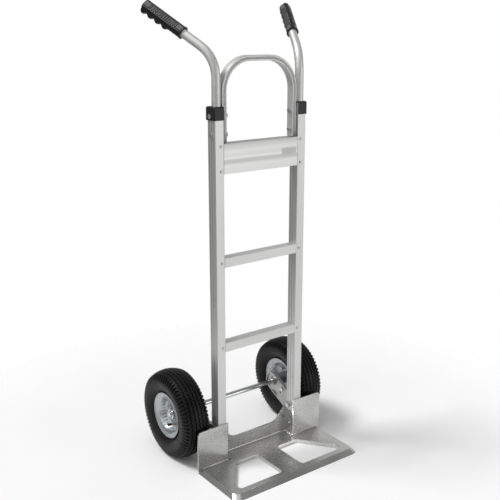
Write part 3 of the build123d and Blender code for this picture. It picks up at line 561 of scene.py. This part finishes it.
def makeGrips():
    rise, splay = math.radians(grip["rise"]), math.radians(grip["splay"])
    run = grip["bendRadius"] * (1 - math.sin(rise)) + grip["start"] * math.cos(rise)
    height = grip["bendStart"] + grip["bendRadius"] * math.cos(rise) + grip["start"] * math.sin(rise)
    mouth = Vector((grip["railX"] + run * math.sin(splay),
                    grip["tubeY"] + run * math.cos(splay), height)) * mm
    along = Vector((math.sin(splay) * math.cos(rise), math.cos(splay) * math.cos(rise), math.sin(rise)))
    outer = Vector((math.cos(splay), -math.sin(splay), 0))
    under = along.cross(outer)
    right = gripBlank()
    turn = Matrix((outer, under, along)).transposed()
    right.matrix_world = Matrix.Translation(mouth) @ turn.to_4x4()
    bakePlace(right)
    left = copyPiece(right, "leftGripSkin")
    mirrorAcross(left)
    tilt = math.radians(grip["panelTurn"])
    for piece, node, flip in ((right, "right_grip", 1), (left, "left_grip", -1)):
        finishPiece(piece, "frame", finish["gripVinyl"], [node], 50)
        # the second material is the painted sheen of the ribbed panel
        piece.data.materials.append(finish["gripPanelPaintedSheen"])
        for side in (outer, -outer):
            facing = side * math.cos(tilt) + under * math.sin(tilt)
            facing.x *= flip
            for face in piece.data.polygons:
                if face.normal.dot(facing) > 0.995:
                    face.material_index = 1             # the flat ribbed panel is made paler, a painted sheen standing in for its reflection


makeGrips()
print("grips moulded")

# nose plate, caps, rims and tubes: the CAD shapes with smooth curves and eased edges

toeTop = named(record["mounts"], "toe_top")["pos_m"][2]
capTop = reachOf("left_rail_cap", "Z")[1] - 0.1 * mm
eased = {
    "nose_plate": dict(look="plateAluminium", angle=30, width=1.3,
                       where=lambda place: abs(place.z - toeTop) < 2e-5),
    "left_rail_cap": dict(look="capPlastic", angle=35, width=1.0, where=lambda place: place.z > capTop),
    "right_rail_cap": dict(look="capPlastic", angle=35, width=1.0, where=lambda place: place.z > capTop),
}
smoothed = dict(
    zincRim=["left_rim_outer", "right_rim_outer", "left_rim_inner", "right_rim_inner"],
    tubeAluminium=["left_handle_tube", "right_handle_tube", "loop_handle"])
for node, setting in eased.items():
    smoothCopy(node, finish[setting["look"]], setting["angle"], setting["width"], setting["where"])
for look, nodes in smoothed.items():
    for node in nodes:
        smoothCopy(node, finish[look])
print("edges eased")

# camera, floor and light

cameraSetting = dict(
    place=(-1.3322, -1.7815, 1.2411), turn=-36.67, tilt=74.69, lens=57.62, shift=(-0.002, -0.0066))
cameraData = bpy.data.cameras.new("viewCamera")
cameraData.lens = cameraSetting["lens"]
cameraData.sensor_width = 36
cameraData.shift_x, cameraData.shift_y = cameraSetting["shift"]
camera = bpy.data.objects.new("viewCamera", cameraData)
camera.location = cameraSetting["place"]
camera.rotation_euler = (math.radians(cameraSetting["tilt"]), 0, math.radians(cameraSetting["turn"]))
bpy.context.scene.collection.objects.link(camera)
bpy.context.scene.camera = camera

studio = dict(
    floorRadius=1.3, floorSolid=0.62, floorShade=0.96,
    ambient=0.25,                                  # light from everywhere
    # direction, where it starts and where it is full, strength
    frontWall=((0.50, -0.82, -0.25), 0.70, 0.95, 0.62),
    ceiling=((-0.25, -0.20, 0.94), 0.72, 0.96, 0.6),
    backFill=((0.80, 0.58, 0.10), 0.55, 0.98, 0.32),
    sideBox=((-0.93, -0.11, 0.35), 0.84, 0.97, 0.8),
    glint=((0.46, -0.87, 0.14), 0.95, 0.99, 1.6),
    sunTurn=(32.9, 0, 236.3), sunAngle=18, sunPower=1.8,
)


def studioFloor():
    deselectAll()
    radius = studio["floorRadius"]
    bpy.ops.mesh.primitive_circle_add(vertices=96, radius=radius, fill_type="NGON", location=(0, 0, 0))
    floor = bpy.context.active_object
    floor.name = "studioFloor"
    material, tree, shader = newMaterial("floorPaint")
    shade = studio["floorShade"]
    paint = ramp(tree, objectNoise(tree, (3, 3, 3), 2), grey(shade - 0.01), grey(shade))
    tree.links.new(paint, shader.inputs["Base Color"])
    shader.inputs["Roughness"].default_value = 0.95
    shader.inputs["Specular IOR Level"].default_value = 0.1
    # the floor fades out into the white around it
    place = tree.nodes.new("ShaderNodeTexCoord")
    distance = tree.nodes.new("ShaderNodeVectorMath")
    distance.operation = "LENGTH"
    fade = tree.nodes.new("ShaderNodeMapRange")
    fade.interpolation_type = "SMOOTHSTEP"
    fade.inputs["From Min"].default_value = studio["floorSolid"]
    fade.inputs["From Max"].default_value = radius * 0.97
    fade.inputs["To Min"].default_value = 1
    fade.inputs["To Max"].default_value = 0
    tree.links.new(place.outputs["Object"], distance.inputs[0])
    tree.links.new(distance.outputs["Value"], fade.inputs["Value"])
    tree.links.new(fade.outputs["Result"], shader.inputs["Alpha"])
    floor.data.materials.append(material)


def studioAir():
    # even light plus five soft patches, and plain white where the camera looks past the truck
    world = bpy.data.worlds.new("studioAir")
    world.use_nodes = True
    tree = world.node_tree
    tree.nodes.clear()
    place = tree.nodes.new("ShaderNodeTexCoord")
    total = None
    for key in ("frontWall", "ceiling", "backFill", "sideBox", "glint"):
        direction, start, full, strength = studio[key]
        facing = tree.nodes.new("ShaderNodeVectorMath")
        facing.operation = "DOT_PRODUCT"
        facing.inputs[1].default_value = Vector(direction).normalized()
        tree.links.new(place.outputs["Generated"], facing.inputs[0])
        spread = tree.nodes.new("ShaderNodeMapRange")
        spread.interpolation_type = "SMOOTHSTEP"
        spread.inputs["From Min"].default_value = start
        spread.inputs["From Max"].default_value = full
        spread.inputs["To Min"].default_value = 0
        spread.inputs["To Max"].default_value = strength
        tree.links.new(facing.outputs["Value"], spread.inputs["Value"])
        add = tree.nodes.new("ShaderNodeMath")
        add.operation = "ADD"
        add.inputs[1].default_value = studio["ambient"]
        if total:
            tree.links.new(total, add.inputs[1])
        tree.links.new(spread.outputs["Result"], add.inputs[0])
        total = add.outputs["Value"]
    lit = tree.nodes.new("ShaderNodeBackground")
    lit.inputs["Color"].default_value = (1, 1, 1, 1)
    tree.links.new(total, lit.inputs["Strength"])
    seen = tree.nodes.new("ShaderNodeBackground")
    seen.inputs["Color"].default_value = (1, 1, 1, 1)
    choice = tree.nodes.new("ShaderNodeMixShader")
    ray = tree.nodes.new("ShaderNodeLightPath")
    output = tree.nodes.new("ShaderNodeOutputWorld")
    tree.links.new(ray.outputs["Is Camera Ray"], choice.inputs["Fac"])
    tree.links.new(lit.outputs["Background"], choice.inputs[1])
    tree.links.new(seen.outputs["Background"], choice.inputs[2])
    tree.links.new(choice.outputs["Shader"], output.inputs["Surface"])
    bpy.context.scene.world = world


def studioSun():
    data = bpy.data.lights.new("softSun", "SUN")
    data.energy = studio["sunPower"]
    data.angle = math.radians(studio["sunAngle"])
    light = bpy.data.objects.new("softSun", data)
    light.rotation_euler = [math.radians(turn) for turn in studio["sunTurn"]]
    bpy.context.scene.collection.objects.link(light)


studioFloor()
studioAir()
studioSun()
bpy.context.scene.view_settings.view_transform = "Standard"
print("camera and studio ready")
